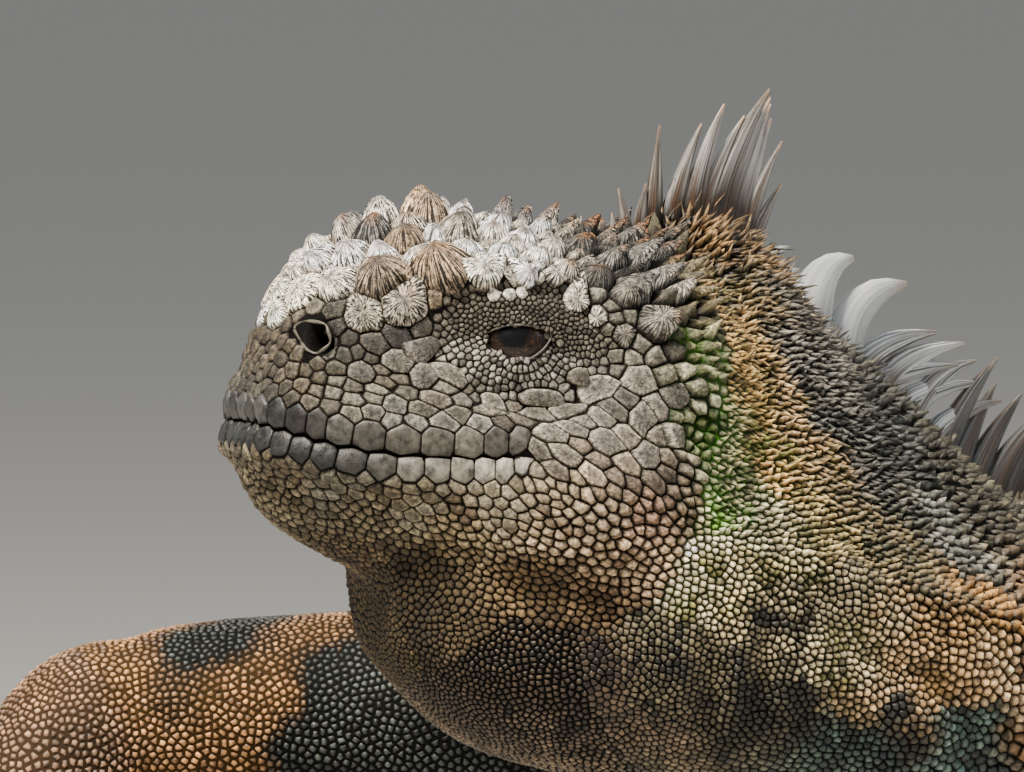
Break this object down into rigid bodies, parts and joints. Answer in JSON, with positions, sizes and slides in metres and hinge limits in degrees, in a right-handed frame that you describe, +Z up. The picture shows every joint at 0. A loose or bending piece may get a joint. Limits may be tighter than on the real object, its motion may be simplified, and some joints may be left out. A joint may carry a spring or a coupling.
{
  "type": "marine iguana, life-size still model",
  "caption": "Life-size adult marine iguana resting on its belly, chest raised on the forelegs, head turned to its right, with a crest of spines from nape to tail.",
  "frame": {"origin": "on the flat that the belly rests on, between chest and waist, at floor level", "axes": "+X towards the tail, +Y towards the animal's right, +Z up"},
  "size_m": [0.8931, 0.2906, 0.1433],
  "materials": {
    "grey_skin": "dry scaly skin with white salt and dark grooves",
    "rust_skin": "granular skin mottled rust, olive and black",
    "claw_horn": "dark horn, worn satin",
    "eye": "wet gloss"
  },
  "bodies": {
    "root": {"claw_foot_left_1": "claw_horn", "claw_foot_left_2": "claw_horn", "claw_foot_left_3": "claw_horn", "claw_foot_left_4": "claw_horn", "claw_foot_left_5": "claw_horn", "claw_foot_right_1": "claw_horn", "claw_foot_right_2": "claw_horn", "claw_foot_right_3": "claw_horn", "claw_foot_right_4": "claw_horn", "claw_foot_right_5": "claw_horn", "claw_hand_left_1": "claw_horn", "claw_hand_left_2": "claw_horn", "claw_hand_left_3": "claw_horn", "claw_hand_left_4": "claw_horn", "claw_hand_left_5": "claw_horn", "claw_hand_right_1": "claw_horn", "claw_hand_right_2": "claw_horn", "claw_hand_right_3": "claw_horn", "claw_hand_right_4": "claw_horn", "claw_hand_right_5": "claw_horn", "eye_left": "eye", "eye_right": "eye", "foot_left": "grey_skin", "foot_right": "grey_skin", "forearm_left": "rust_skin", "forearm_right": "rust_skin", "hand_left": "grey_skin", "hand_right": "grey_skin", "head": "grey_skin", "neck": "rust_skin", "shank_left": "rust_skin", "shank_right": "rust_skin", "tail_base": "rust_skin", "tail_front": "rust_skin", "tail_middle": "rust_skin", "tail_rear": "rust_skin", "tail_tip": "rust_skin", "thigh_left": "rust_skin", "thigh_right": "rust_skin", "torso": "rust_skin", "upper_arm_left": "rust_skin", "upper_arm_right": "rust_skin"}
  },
  "joints": []
}
